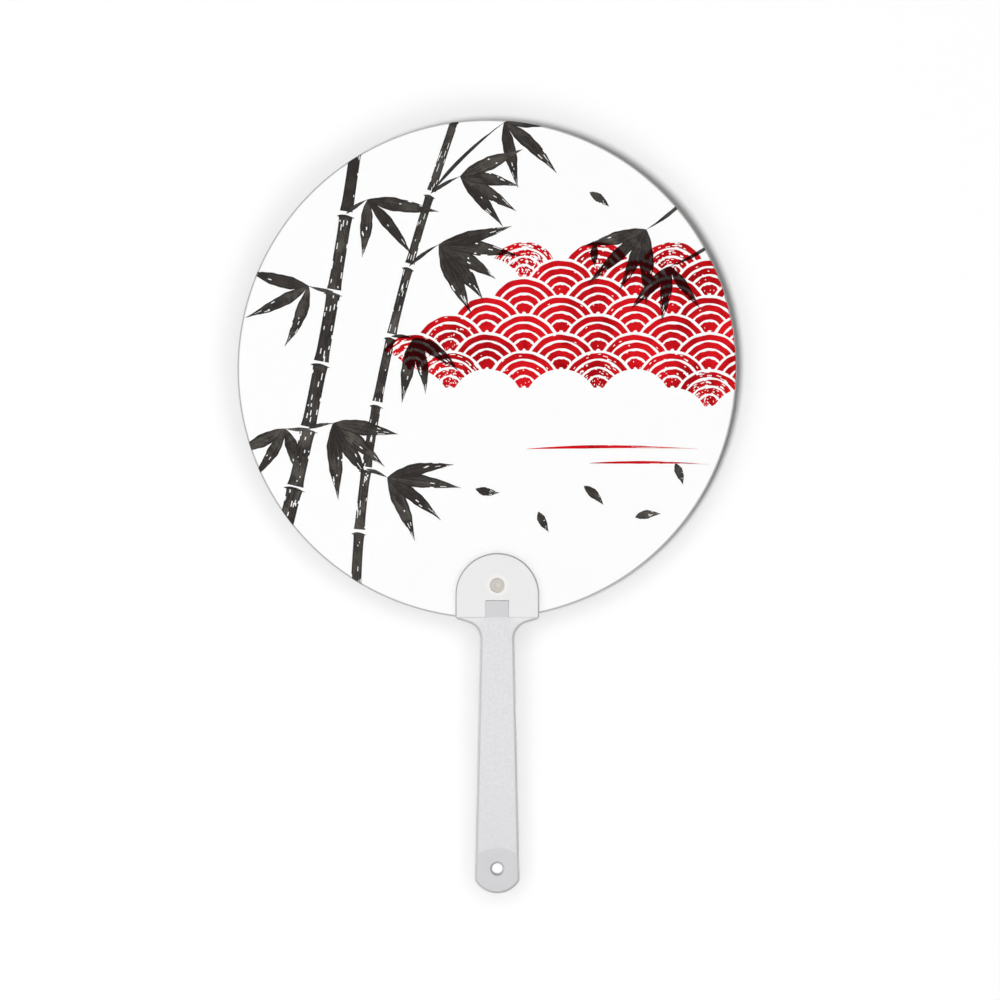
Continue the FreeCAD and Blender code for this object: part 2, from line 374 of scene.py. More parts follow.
def smooth_step(tree, value, low, high):
    """0 at the low value, 1 at the high one, and a smooth ramp between them."""
    return add_node(
        tree, "ShaderNodeMapRange", {"interpolation_type": "SMOOTHSTEP"},
        {"Value": value, "From Min": low, "From Max": high, "To Min": 0.0, "To Max": 1.0},
    )


def noise(tree, place, scale, detail=3.0, roughness=0.5, distortion=0.0):
    """A noise texture about 0.5."""
    return add_node(
        tree, "ShaderNodeTexNoise", None,
        {"Vector": place, "Scale": scale, "Detail": detail, "Roughness": roughness, "Distortion": distortion},
    )


def object_place(tree):
    return add_node(tree, "ShaderNodeTexCoord").outputs["Object"]


def axis_values(tree, place):
    return add_node(tree, "ShaderNodeSeparateXYZ", None, {"Vector": place}).outputs


def flat_length(tree, x, z):
    """Length of a vector in the X and Z plane."""
    flat = add_node(tree, "ShaderNodeCombineXYZ", None, {"X": x, "Z": z})
    return add_node(tree, "ShaderNodeVectorMath", {"operation": "LENGTH"}, {0: flat}).outputs["Value"]


def distance_from_axis(tree, place, x, z):
    """Distance from an axis along Y through this X and Z."""
    axes = axis_values(tree, place)
    return flat_length(tree, minus(tree, axes["X"], x), minus(tree, axes["Z"], z))


def cap_reach(tree, place):
    """Distance from the cap's upright middle line, and above its straight sides from the dome's centre, so
    that it is the same all along the outer edge."""
    axes = axis_values(tree, place)
    return flat_length(tree, axes["X"], larger(tree, minus(tree, axes["Z"], CAP_DOME_Z), 0.0))


def shared_group(name, inputs, build):
    """A shader node group, built once. Its inputs are floats, given with their defaults. The build function
    takes the group and the outputs of its input node, and returns the group's outputs by name."""
    if name in bpy.data.node_groups:
        return bpy.data.node_groups[name]
    group = bpy.data.node_groups.new(name, "ShaderNodeTree")
    for label, default in inputs.items():
        socket = group.interface.new_socket(label, in_out="INPUT", socket_type="NodeSocketFloat")
        socket.default_value = default
    made = build(group, group.nodes.new("NodeGroupInput").outputs)
    for label in made:
        group.interface.new_socket(label, in_out="OUTPUT", socket_type="NodeSocketFloat")
    result = group.nodes.new("NodeGroupOutput")
    for label, value in made.items():
        group.links.new(outlet(value), result.inputs[label])
    return group


def moulded_grain(group, given):
    """The grain of a moulded surface: soft blotches of a given size with finer pits in them.
    Tone varies about 0, and Height is 0 to 1."""
    place = object_place(group)
    blotches = noise(group, place, given["Blotch scale"], detail=2.0, roughness=0.55)
    pits = noise(group, place, given["Pit scale"], detail=1.0, roughness=0.5)
    height = plus(group, times(group, blotches, 0.65), times(group, pits, 0.35))
    return {"Tone": minus(group, blotches, 0.5), "Height": height}


def rounded_edge(group, given):
    """Where a thin moulding is rounded or bevelled: 0 on its faces across Y and on its upright sides, and
    1 on the edges between them. The plastics use it to paint shade on these edges."""
    normal = add_node(group, "ShaderNodeTexCoord").outputs["Normal"]
    facing = math_node(group, "ABSOLUTE", axis_values(group, normal)["Y"])
    off_face = smooth_step(group, facing, given["Flat"], given["Side"])
    off_side = smooth_step(group, facing, 0.01, 0.10)
    return {"Edge": times(group, off_face, off_side)}


def ink_wash(group, given):
    """How a brushed ink lies: Wash is 0 to 1 in large pools with torn edges, and Grain is the fine
    granulation of the pigment, about 0."""
    place = object_place(group)
    pools = noise(group, place, given["Pool scale"], detail=6.0, roughness=0.62, distortion=0.9)
    grain = noise(group, place, given["Grain scale"], detail=2.0, roughness=0.6)
    return {"Wash": smooth_step(group, pools, 0.40, 0.66), "Grain": minus(group, grain, 0.5)}


def place_group(tree, group, values=None):
    """A shader node group in a material, with its own values. Returns its outputs."""
    made = tree.nodes.new("ShaderNodeGroup")
    made.node_tree = group
    for name, value in (values or {}).items():
        made.inputs[name].default_value = value
    return made.outputs


def place_grain(tree, blotch_scale, pit_scale):
    group = shared_group("Moulded grain", {"Blotch scale": 900.0, "Pit scale": 2600.0}, moulded_grain)
    return place_group(tree, group, {"Blotch scale": blotch_scale, "Pit scale": pit_scale})


def place_edge(tree):
    group = shared_group("Rounded edge", {"Flat": 0.99999, "Side": 0.99}, rounded_edge)
    return place_group(tree, group)["Edge"]


def place_wash(tree, pool_scale, grain_scale):
    group = shared_group("Ink wash", {"Pool scale": 55.0, "Grain scale": 1500.0}, ink_wash)
    return place_group(tree, group, {"Pool scale": pool_scale, "Grain scale": grain_scale})


def new_material(name):
    """A material with an empty Principled shader wired to its output."""
    material = bpy.data.materials.new(name)
    material.use_nodes = True
    tree = material.node_tree
    tree.nodes.clear()
    shader = tree.nodes.new("ShaderNodeBsdfPrincipled")
    output = tree.nodes.new("ShaderNodeOutputMaterial")
    tree.links.new(shader.outputs["BSDF"], output.inputs["Surface"])
    return material, tree, shader


def shade(tree, shader, colour, roughness, height=None, strength=0.0, depth=0.0):
    """Wires the colour, roughness and bump of a shader."""
    tree.links.new(outlet(colour), shader.inputs["Base Color"])
    if isinstance(outlet(roughness), bpy.types.NodeSocket):
        tree.links.new(outlet(roughness), shader.inputs["Roughness"])
    else:
        shader.inputs["Roughness"].default_value = roughness
    if height is not None:
        inputs = {"Height": height, "Strength": strength, "Distance": depth}
        bump = add_node(tree, "ShaderNodeBump", None, inputs)
        tree.links.new(bump.outputs["Normal"], shader.inputs["Normal"])


def scaled(colour, factor):
    """A colour made lighter or darker."""
    return tuple(min(1.0, part * factor) for part in colour)


def shades(colour, dark, light):
    """A colour's darker and lighter shade."""
    return scaled(colour, dark), scaled(colour, light)


def handle_plastic(colours):
    """Milky plastic: grain on the raised grip panels only, a plain darker end and key, painted shade on the
    rounded edges, and lighter shoulders."""
    material, tree, shader = new_material("handle_plastic_look")
    place = object_place(tree)
    axes = axis_values(tree, place)
    panel_foot, panel_top = HANDLE_HIGH.y - 0.12 * MM, HANDLE_HIGH.y - 0.03 * MM
    on_panel = smooth_step(tree, math_node(tree, "ABSOLUTE", axes["Y"]), panel_foot, panel_top)
    below_cap = math_node(tree, "LESS_THAN", axes["Z"], CAP_LOW.z)
    grained = times(tree, on_panel, below_cap)
    grain = place_grain(tree, 850.0, 2400.0)
    tone = times(tree, times(tree, grain["Tone"], 0.8), grained)
    panel = mix_colours(tree, plus(tree, 0.5, tone, clamp=True), *shades(colours.handle, 0.86, 1.14))
    lower = times(tree, smooth_step(tree, axes["Z"], 10 * MM, HANDLE_LOW.z), 0.3)
    panel = mix_colours(tree, lower, panel, scaled(colours.handle, 0.84))
    cloud = noise(tree, place, scale=120.0, detail=2.0)
    plain = mix_colours(tree, cloud, *shades(colours.handle, 0.84, 0.90))
    colour = mix_colours(tree, grained, plain, panel)
    sideways = smooth_step(tree, math_node(tree, "ABSOLUTE", axes["X"]), 3 * MM, 8 * MM)
    upwards = smooth_step(tree, axes["Z"], CAP_LOW.z - 4 * MM, CAP_LOW.z - 0.5 * MM)
    shoulder = times(tree, times(tree, sideways, upwards), below_cap)
    colour = mix_colours(tree, shoulder, colour, scaled(colours.cap, 0.97))
    # painted shade: the rounded edges below the cap are darkened in colour, standing in for the shade they turn
    # into
    edge = times(tree, times(tree, place_edge(tree), below_cap), 0.66)
    colour = mix_colours(tree, edge, colour, scaled(colours.handle, 0.56))
    height = times(tree, grain["Height"], grained)
    roughness = plus(tree, 0.34, times(tree, grained, 0.16))
    shade(tree, shader, colour, roughness, height, strength=0.5, depth=0.06 * MM)
    return material


def cap_plastic(colours):
    """Milky plastic of the thin cap, with a painted warm glow round the pin and painted shade along its
    rounded outer edge."""
    material, tree, shader = new_material("cap_plastic_look")
    place = object_place(tree)
    grain = place_grain(tree, 500.0, 2200.0)
    lightness = plus(tree, 0.5, times(tree, grain["Tone"], 0.6), clamp=True)
    plain = mix_colours(tree, lightness, *shades(colours.cap, 0.975, 1.025))
    # painted light: a warmer, lighter ring of colour round the pin stands in for a glow about it
    off_pin = smooth_step(tree, distance_from_axis(tree, place, 0.0, PIN_Z), 2.6 * MM, 4.6 * MM)
    pin_glow = tuple(min(1.0, part * factor) for part, factor in zip(colours.cap, (1.08, 1.07, 1.04)))
    lit = mix_colours(tree, off_pin, pin_glow, plain)
    # painted shade: the rounded outer edge is darkened in colour
    outer = smooth_step(tree, cap_reach(tree, place), CAP_HIGH.x - 1.2 * MM, CAP_HIGH.x - 0.8 * MM)
    edge = times(tree, place_edge(tree), outer)
    colour = mix_colours(tree, edge, lit, scaled(colours.cap, 0.43))
    roughness = plus(tree, 0.33, times(tree, grain["Tone"], 0.10))
    shade(tree, shader, colour, roughness, grain["Height"], strength=0.25, depth=0.02 * MM)
    return material


def pin_plastic(colours):
    """Natural beige plastic, with painted light towards the pin's middle and painted shade towards its rim."""
    material, tree, shader = new_material("pin_plastic_look")
    place = object_place(tree)
    grain = place_grain(tree, 1100.0, 3000.0)
    # painted light and shade: the pin's end is lighter in the middle and darker towards its rim
    outward = smooth_step(tree, distance_from_axis(tree, place, 0.0, PIN_Z), 0.6 * MM, 2.0 * MM)
    plain = mix_colours(tree, outward, scaled(colours.pin, 1.10), scaled(colours.pin, 0.99))
    lightness = plus(tree, 0.5, grain["Tone"], clamp=True)
    speckled = mix_colours(tree, lightness, scaled(colours.pin, 0.94), plain)
    roughness = plus(tree, 0.38, times(tree, grain["Tone"], 0.12))
    shade(tree, shader, speckled, roughness, grain["Height"], strength=0.25, depth=0.02 * MM)
    return material


def coated_sheet(name, colours):
    """White coated paper: faint clouds in its tone, a fine tooth under a soft gloss, and a thin grey line
    along the rim, which is painted shade of the sheet's edge."""
    material, tree, shader = new_material(name)
    place = object_place(tree)
    cloud = noise(tree, place, scale=40.0, detail=4.0, roughness=0.6)
    coating = mix_colours(tree, cloud, *shades(colours.sheet, 0.993, 1.007))
    reach = distance_from_axis(tree, place, BLADE_X, BLADE_Z)
    # painted shade: the mask called cut gives a thin dark line along the rim, standing in for the shade at the
    # sheet's edge
    cut = smooth_step(tree, reach, BLADE_RADIUS - 0.75 * MM, BLADE_RADIUS - 0.25 * MM)
    colour = mix_colours(tree, cut, coating, scaled(colours.sheet, 0.42))
    tooth = noise(tree, place, scale=2600.0, detail=2.0, roughness=0.6)
    roughness = plus(tree, 0.42, times(tree, tooth, 0.10))
    shade(tree, shader, colour, roughness, tooth, strength=0.12, depth=0.01 * MM)
    return material


def cut_board(colours):
    """The board's cut edge: thin plies along its thickness, broken up by fibres."""
    material, tree, shader = new_material("board_look")
    place = object_place(tree)
    stretched = add_node(tree, "ShaderNodeMapping", None, {"Vector": place, "Scale": (1.0, 14.0, 1.0)})
    plies = noise(tree, stretched, scale=700.0, detail=3.0, roughness=0.6)
    fibres = noise(tree, place, scale=1800.0, detail=2.0, roughness=0.6)
    mixed = plus(tree, times(tree, plies, 0.6), times(tree, fibres, 0.4))
    colour = mix_colours(tree, mixed, *shades(colours.board, 0.82, 1.12))
    roughness = plus(tree, 0.7, times(tree, fibres, 0.2))
    shade(tree, shader, colour, roughness, mixed, strength=0.4, depth=0.03 * MM)
    return material


def film_attribute(tree, name):
    return add_node(tree, "ShaderNodeAttribute", {"attribute_name": name}).outputs["Fac"]


def off_middle(tree, across):
    """How far a place lies from the middle of a mark: 0 in the middle, and 1 at both edges."""
    return math_node(tree, "ABSOLUTE", minus(tree, times(tree, across, 2.0), 1.0))


def red_ink(inks):
    """Red ink: pools of deep red, a darker edge to each brush band, and its own tone on each scale."""
    material, tree, shader = new_material("red_ink_look")
    wash = place_wash(tree, 42.0, 1500.0)
    brush = add_node(tree, "ShaderNodeUVMap", {"uv_map": "brush"})
    edge = smooth_step(tree, off_middle(tree, axis_values(tree, brush)["Y"]), 0.55, 1.0)
    amount = plus(tree, times(tree, wash["Wash"], 0.72), times(tree, film_attribute(tree, "tone"), 0.24))
    amount = plus(tree, amount, times(tree, edge, 0.16))
    amount = plus(tree, amount, times(tree, wash["Grain"], 0.35), clamp=True)
    shade(tree, shader, mix_colours(tree, amount, inks.red, inks.deep_red), roughness=0.46)
    shader.inputs["Specular IOR Level"].default_value = INK_GLOSS
    return material


def charcoal_ink(inks):
    """Dark ink: streaks of the brush's hairs along each stroke, thin washes, a darker rim to each stroke, and
    maroon over red."""
    material, tree, shader = new_material("charcoal_ink_look")
    wash = place_wash(tree, 130.0, 1700.0)
    brush = add_node(tree, "ShaderNodeUVMap", {"uv_map": "brush"})
    stretched = add_node(tree, "ShaderNodeMapping", None, {"Vector": brush, "Scale": (1.6, 9.0, 1.0)})
    hairs = smooth_step(tree, noise(tree, stretched, scale=1.0, detail=4.0, roughness=0.65), 0.45, 0.75)
    amount = plus(tree, times(tree, wash["Wash"], 0.45), times(tree, hairs, 0.5))
    amount = plus(tree, amount, times(tree, wash["Grain"], 0.3))
    amount = times(tree, amount, plus(tree, 0.35, film_attribute(tree, "tone")), clamp=True)
    across = math_node(tree, "FRACT", axis_values(tree, brush)["Y"])
    inner = smooth_step(tree, off_middle(tree, across), 0.95, 0.55)
    amount = times(tree, amount, plus(tree, 0.2, times(tree, inner, 0.8)))
    ink = mix_colours(tree, amount, inks.charcoal, inks.washed_charcoal)
    ink = mix_colours(tree, film_attribute(tree, "over_red"), ink, inks.ink_over_red)
    shade(tree, shader, ink, roughness=0.48)
    shader.inputs["Specular IOR Level"].default_value = INK_GLOSS
    return material


def wave_bank_depth(points):
    """How deep points lie in the bank of waves, negative outside it. The bank follows a slow S from the
    left of the middle to the right rim, and widens to the right."""
    across, up = points[..., 0] / MM, points[..., 1] / MM
    swing = SWING_SIZE * np.sin((across - SWING_START) / SWING_LENGTH)
    line = BANK_HEIGHT + BANK_SLOPE * across + swing
    widening = np.clip((across - WIDENING_START) / WIDENING_RUN, 0.0, 1.0)
    half_height = HALF_HEIGHT * widening ** WIDENING_POWER - BANK_INSET
    return (half_height - np.abs(up - line)) * MM


def over_wave_ink(points, radius):
    """1 where points lie on the red bands of the wave scales, and 0 elsewhere. Of the scales that reach a
    point, the one in the lowest row is on top."""
    across, up = points[..., 0], points[..., 1]
    lowest = np.ceil((up - radius) / (radius / 2))
    share = np.full(across.shape, np.inf)
    printed = np.zeros(across.shape, bool)
    for step in range(COVERING_ROWS):
        row = lowest + step
        odd = np.mod(row, 2)
        column = np.round((across / radius - odd) / 2)
        centre = np.stack([(2 * column + odd) * radius, row * radius / 2], axis=-1)
        reach = np.linalg.norm(points - centre, axis=-1) / radius
        on_top = np.isinf(share) & (reach < 1)
        share = np.where(on_top, reach, share)
        printed |= on_top & (wave_bank_depth(centre) > 0)
    banded = np.any([(share > inner) & (share < outer) for inner, outer in WAVE_BANDS], axis=0)
    return (printed & banded).astype(float)


def wave_scale_start(share):
    """The angle above the horizontal at which a ring of a wave scale comes out from under its
    neighbours, for rings at this share of the scale's radius: past the scale beside and half a radius
    below it, and past the scale a whole radius below."""
    beside = np.arccos(np.clip((share + 0.25 / share) / math.sqrt(5), -1, 1)) - math.atan(0.5)
    below = -np.arcsin(share / 2)
    return np.maximum(beside, below)


def wavering(place, turns, phases, sizes=(1.0, 1.0, 1.0)):
    """A sum of sines along a run from 0 to 1, each with its number of turns, its phase and its size."""
    return sum(
        size * np.sin(2 * math.pi * (count * place + phase))
        for count, phase, size in zip(turns, phases, sizes)
    )


def brush_coordinates(along, across, shape):
    """Coordinates along and across a mark of the brush, both from 0 to 1, for a stack of like marks."""
    return np.broadcast_to(np.stack(np.broadcast_arrays(along, across), axis=-1), shape)


def wave_patches(inks):
    """Overlapping wave scales in staggered rows half a radius apart. Each band of a scale is a grid in
    polar coordinates: from its inner to its outer radius, and along the arc from where it comes out
    from under its neighbours to the mirrored angle. Sines with drawn phases make its edges waver, and
    the brush runs dry in streaks along the arc towards the bank's border."""
    draw = np.random.default_rng(PRINT_SEED)
    radius = inks.wave_radius
    rows, columns = np.meshgrid(
        np.arange(-WAVE_ROWS, WAVE_ROWS + 1), np.arange(-WAVE_COLUMNS, WAVE_COLUMNS + 1), indexing="ij"
    )
    centres = np.stack([(2 * columns + rows % 2) * radius, rows * radius / 2], axis=-1).reshape(-1, 2)
    depth = wave_bank_depth(centres)
    reach = np.hypot(centres[:, 0], centres[:, 1])
    chosen = (depth > 0) & (reach < BLADE_RADIUS + radius)
    centres, depth = centres[chosen], depth[chosen]
    count, bands = len(centres), len(WAVE_BANDS)
    radial, along = WAVE_STEPS
    edges = np.array(WAVE_BANDS)
    out = np.linspace(0, 1, radial)
    share = edges[:, :1] + (edges[:, 1:] - edges[:, :1]) * out
    start = wave_scale_start(share)
    turn = np.linspace(0, 1, along)
    angle = start[..., None] + (math.pi - 2 * start[..., None]) * turn
    # The sines take the first two of these phases
    phase = draw.uniform(0, 1, (4, count, bands, 1, 1))
    waver = wavering(turn, WAVE_WAVER, phase, WAVE_WAVER_SIZES) * (0.4 + 0.6 * out[:, None])
    length = radius * (share[None, :, :, None] + waver)
    arms = np.stack([length * np.cos(angle), length * np.sin(angle)], axis=-1)
    points = (centres[:, None, None, None, :] + arms).reshape(-1, radial, along, 2)
    hair_phase = draw.uniform(0, 1, (3, count, bands, radial - 1, 1))
    hairs = wavering((turn[:-1] + turn[1:]) / 2, WAVE_HAIRS, hair_phase)
    dryness = BORDER_DRYNESS * np.clip(1 - depth / BORDER_DEPTH, 0, 1)
    dryness = dryness + OWN_DRYNESS * draw.uniform(0, 1, count)
    keep = hairs < WAVE_WET - WAVE_DRY * dryness[:, None, None, None]
    tone = draw.uniform(0, 0.7, (count, 1)) + draw.uniform(0, 0.3, (count, bands))
    tone = np.broadcast_to(tone.reshape(-1, 1, 1), points.shape[:3])
    brush = brush_coordinates(turn[None, None, :], out[None, :, None], points.shape)
    return points, keep.reshape(-1, radial - 1, along - 1), tone, brush


def strips(line, normal, half, side):
    """Grids of points across middle lines: at each step along a line, the half width times the side, from
    -1 to 1, is laid off along the line's normal."""
    return line[:, :, None, :] + (half[..., None] * side)[..., None] * normal[:, :, None, :]


def stroke_patches(strokes, draw, dryness):
    """Brush strokes, one row of numbers each: start across and up, heading in degrees, length, full
    width and bend in degrees, with lengths in millimetres. The middle line is an arc whose heading turns
    by the bend; the half width swells from a narrow start and closes in a point; towards the point the
    brush runs dry in streaks."""
    table = np.array(strokes, float)
    start = table[:, :2] * MM
    heading, bend = np.radians(table[:, 2]), np.radians(table[:, 5])
    bend = np.where(np.abs(bend) < LEAST_BEND, LEAST_BEND, bend)
    length, width = table[:, 3] * MM, table[:, 4] * MM
    count = len(table)
    along, across = STROKE_STEPS
    step = np.linspace(0, 1, along)
    side = np.linspace(-1, 1, across)
    turned = heading[:, None] + bend[:, None] * step
    rightwards = np.sin(turned) - np.sin(heading)[:, None]
    upwards = np.cos(heading)[:, None] - np.cos(turned)
    spine = np.stack([rightwards, upwards], axis=-1) * (length / bend)[:, None, None]
    normal = np.stack([-np.sin(turned), np.cos(turned)], axis=-1)
    swell = np.sin(math.pi * step ** SWELL_ALONG) ** SWELL_ACROSS * (1.0 - SWELL_TAPER * step)
    phase = draw.uniform(0, 1, (2, count, 1))
    ragged = 1 + wavering(step, STROKE_WAVER, phase, STROKE_WAVER_SIZES)
    half = width[:, None] / 2 * swell * ragged + STROKE_EDGE
    points = strips(start[:, None, :] + spine, normal, half, side)
    hair_phase = draw.uniform(0, 1, (2, count, 1, across - 1))
    middle = ((step[:-1] + step[1:]) / 2)[:, None]
    hairs = wavering(middle, STROKE_HAIRS, hair_phase)
    keep = hairs < STROKE_WET - STROKE_DRY * dryness * np.clip((middle - DRY_START) / DRY_RUN, 0, 1)
    tone = np.broadcast_to(draw.uniform(0, 1, (count, 1, 1)), points.shape[:3])
    brush = brush_coordinates(step[None, :, None], (side[None, None, :] + 1) / 2, points.shape)
    shifts = [draw.uniform(0, BRUSH_SHIFTS, (count, 1, 1)) for _ in range(2)]
    return points, keep, tone, brush + np.floor(np.stack(shifts, axis=-1)) * 2


def cane_line(cane, share):
    """Points and unit tangents of a cane's quadratic curve at shares of its run, in millimetres."""
    first, control, last = (np.array(point, float) for point in cane[:3])
    t = np.asarray(share, float)[..., None]
    points = (1 - t) ** 2 * first + 2 * t * (1 - t) * control + t ** 2 * last
    tangent = (1 - t) * (control - first) + t * (last - control)
    return points, tangent / np.linalg.norm(tangent, axis=-1, keepdims=True)


def cane_patches(draw):
    """The joints of each cane: strips along equal shares of its curve, a little wider at both ends, with
    light streaks where the brush ran dry."""
    along, across = CANE_STEPS
    step = np.linspace(0, 1, along)
    side = np.linspace(-1, 1, across)
    middle = ((step[:-1] + step[1:]) / 2)[:, None]
    found = []
    for cane in CANES:
        joints, width = cane[3:]
        cuts = np.linspace(0, 1, joints + 1)
        share = cuts[:-1, None] + CANE_GAP / 2 + (1 / joints - CANE_GAP) * step
        line, tangent = cane_line(cane, share)
        normal = np.stack([-tangent[..., 1], tangent[..., 0]], axis=-1)
        flare = CANE_WAIST + CANE_FLARE * (2 * step - 1) ** 6
        half = width / 2 * flare * (1 - CANE_TAPER * share)
        points = strips(line, normal, half, side) * MM
        phase = draw.uniform(0, 1, (3, joints, 1, across - 1))
        keep = wavering(middle, CANE_HAIRS, phase) < CANE_WET
        tone = np.broadcast_to(draw.uniform(0, 1, (joints, 1, 1)), points.shape[:3])
        brush = brush_coordinates(step[None, :, None], (side[None, None, :] + 1) / 2, points.shape)
        brush = brush + np.floor(draw.uniform(0, BRUSH_SHIFTS, (joints, 1, 1, 2))) * 2
        found.append((points, keep, tone, brush))
    return found


def hidden_by_cap(points):
    """True for points that lie well under the clamp cap, where the sheet has no print."""
    x, z = points[..., 0] + BLADE_X, points[..., 1] + BLADE_Z
    half = CAP_HIGH.x - UNDER_CAP_MARGIN
    rounded = np.hypot(x, np.maximum(z - CAP_DOME_Z, 0)) < half
    return (np.abs(x) < half) & rounded & (z < CAP_HIGH.z)


def cell_corners(grids):
    """The four corners of each cell of a stack of grids, in order round the cell."""
    return grids[:, :-1, :-1], grids[:, 1:, :-1], grids[:, 1:, 1:], grids[:, :-1, 1:]


def without_corner_contacts(kept):
    """Drops one of each two cells that meet at a corner only, so that the slabs' walls stay apart."""
    kept = kept.copy()
    first, second, third, fourth = cell_corners(kept)
    third &= ~(first & third & ~second & ~fourth)
    second &= ~(second & fourth & ~first & ~third)
    return kept


def film_arrays(patches):
    """Closed slabs over grids of points in the blade's plane. Points beyond the rim are drawn back to
    it, and cells that lie wholly beyond it or under the cap are dropped. Each cell kept gives a top
    quad and a bottom quad, and each edge with a cell on one side only gives a wall.
    Returns corner points with their heights, 0 below and about 1 on top, quads, tones and brush
    coordinates."""
    corners, heights, quads, tones, brushes = [], [], [], [], []
    limit = BLADE_RADIUS - RIM_MARGIN
    offset = 0
    for points, keep, tone, brush in patches:
        reach = np.hypot(points[..., 0], points[..., 1])
        size = reach.size
        beyond = reach > limit
        points = points * np.where(beyond, limit / np.maximum(reach, limit), 1.0)[..., None]
        outside = np.all(cell_corners(beyond), axis=0)
        centre = sum(cell_corners(points)) / 4
        kept = without_corner_contacts(keep & ~outside & ~hidden_by_cap(centre))
        index = np.arange(size).reshape(reach.shape)
        cells = np.stack(cell_corners(index), axis=-1)[kept]
        edges = np.concatenate([cells[:, [side, (side + 1) % 4]] for side in range(4)])
        low, high = edges.min(axis=1), edges.max(axis=1)
        _, place, uses = np.unique(low * size + high, return_inverse=True, return_counts=True)
        first, second = edges[uses[place] == 1].T
        walls = np.stack([second + size, first + size, first, second], axis=-1)
        quads.append(np.concatenate([cells + size, cells[:, ::-1], walls]) + offset)
        flat = points.reshape(-1, 2)
        corners.append(np.concatenate([flat, flat]))
        level = 1 + STROKE_LIFT * (np.arange(len(points)) % STROKE_LEVELS)
        heights.append(np.concatenate([np.zeros(size), np.repeat(level, size // len(points))]))
        tones.append(np.tile(tone.reshape(-1), 2))
        brushes.append(np.tile(brush.reshape(-1, 2), (2, 1)))
        offset += 2 * size
    quads = np.concatenate(quads)
    used, place = np.unique(quads, return_inverse=True)
    corners, heights, tones, brushes = (
        np.concatenate(parts)[used] for parts in (corners, heights, tones, brushes)
    )
    return corners, heights, place.reshape(quads.shape), tones, brushes


def add_film(name, patches, front, rise, material):
    """One printed ink film on a face of the blade, as a mesh piece that rides on the fan. On the rear
    the pattern is turned about the blade's upright axis, so that it reads the same from behind."""
    corners, heights, quads, tones, brushes = film_arrays(patches)
    outward = -1.0 if front else 1.0
    face = FRONT_FACE if front else REAR_FACE
    depth = face + outward * np.where(heights > 0, rise * heights, -FILM_SINK)
    places = np.stack([BLADE_X - outward * corners[:, 0], depth, BLADE_Z + corners[:, 1]], axis=-1)
    mesh = bpy.data.meshes.new(name)
    mesh.from_pydata(places.tolist(), [], quads.tolist())
    over_red = over_wave_ink(corners, bpy.context.scene.fan_print.wave_radius)
    for label, values in (("tone", tones), ("over_red", over_red)):
        attribute = mesh.attributes.new(label, "FLOAT", "POINT")
        attribute.data.foreach_set("value", values.astype(np.float32))
    loops = np.empty(len(mesh.loops), np.int32)
    mesh.loops.foreach_get("vertex_index", loops)
    layer = mesh.uv_layers.new(name="brush")
    layer.data.foreach_set("uv", brushes[loops].astype(np.float32).ravel())
    mesh.materials.append(material)
    mesh.update()
    piece = bpy.data.objects.new(name, mesh)
    bpy.context.scene.collection.objects.link(piece)
    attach(piece, FAN_BODY)


def add_film_pair(name, patches, rise, material):
    """The same ink film on the front and on the rear."""
    add_film("front_" + name, patches, True, rise, material)
    add_film("rear_" + name, patches, False, rise, material)


def stroke_end(stroke):
    """Where a stroke's middle line ends, in millimetres."""
    across, up, heading, length, _, bend = stroke
    first, last = math.radians(heading), math.radians(heading + bend)
    return (
        across + length * (math.sin(last) - math.sin(first)) / (last - first),
        up + length * (math.cos(first) - math.cos(last)) / (last - first),
    )


def twig_strokes():
    """One stroke for each twig, from its cane's middle or from its place at the rim."""
    rows = []
    for cane, joint, heading, length in (twig[:4] for twig in CANE_TWIGS):
        start, _ = cane_line(CANES[cane], joint / CANES[cane][3])
        rows.append((*start, heading, length))
    rows += [twig[:4] for twig in RIM_TWIGS]
    return [(*row, TWIG_WIDTH, TWIG_BEND) for row in rows]


def leaf_strokes(inks, draw):
    """The leaves at the end of each twig, spread about their heading, and the loose leaves."""
    strokes = list(LOOSE_LEAVES)
    for twig, (heading, count, size) in zip(twig_strokes(), (row[4:] for row in CANE_TWIGS + RIM_TWIGS)):
        across, up = stroke_end(twig)
        fan = np.linspace(-LEAF_FAN, LEAF_FAN, count)
        headings = heading + fan + draw.uniform(-LEAF_SCATTER, LEAF_SCATTER, count)
        lengths = size * inks.leaf_length / MM * draw.uniform(*LEAF_LENGTHS, count)
        widths = size * inks.leaf_width / MM * draw.uniform(*LEAF_WIDTHS, count)
        bends = draw.uniform(*LEAF_BENDS, count)
        strokes += [(across, up, *row) for row in zip(headings, lengths, widths, bends)]
    return strokes


def knot_strokes():
    """Short strokes across the canes, one under each gap between two joints."""
    strokes = []
    for cane in CANES:
        joints, width = cane[3:]
        share = np.arange(1, joints) / joints - KNOT_DROP * CANE_GAP
        points, tangent = cane_line(cane, share)
        reach = width * KNOT_REACH * (1 - CANE_TAPER * share)
        starts = points - reach[:, None] / 2 * np.stack([tangent[:, 1], -tangent[:, 0]], axis=-1)
        headings = np.degrees(np.arctan2(tangent[:, 1], tangent[:, 0])) - 90
        strokes += [
            (*start, heading + KNOT_TILT, length, KNOT_WIDTH, KNOT_BEND)
            for start, heading, length in zip(starts, headings, reach)
        ]
    return strokes


def assign(node, material):
    """Puts a material in every slot of a CAD node."""
    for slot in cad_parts[node].material_slots:
        slot.material = material


class FAN_OT_dress_plastics(bpy.types.Operator):
    """Gives the handle, the clamp cap and the blade pin their plastics"""

    bl_idname = "fan.dress_plastics"
    bl_label = "Dress plastics"

    def execute(self, context):
        colours = context.scene.fan_materials
        assign("handle_body", handle_plastic(colours))
        assign("clamp_cap", cap_plastic(colours))
        assign("blade_pin", pin_plastic(colours))
        return {"FINISHED"}


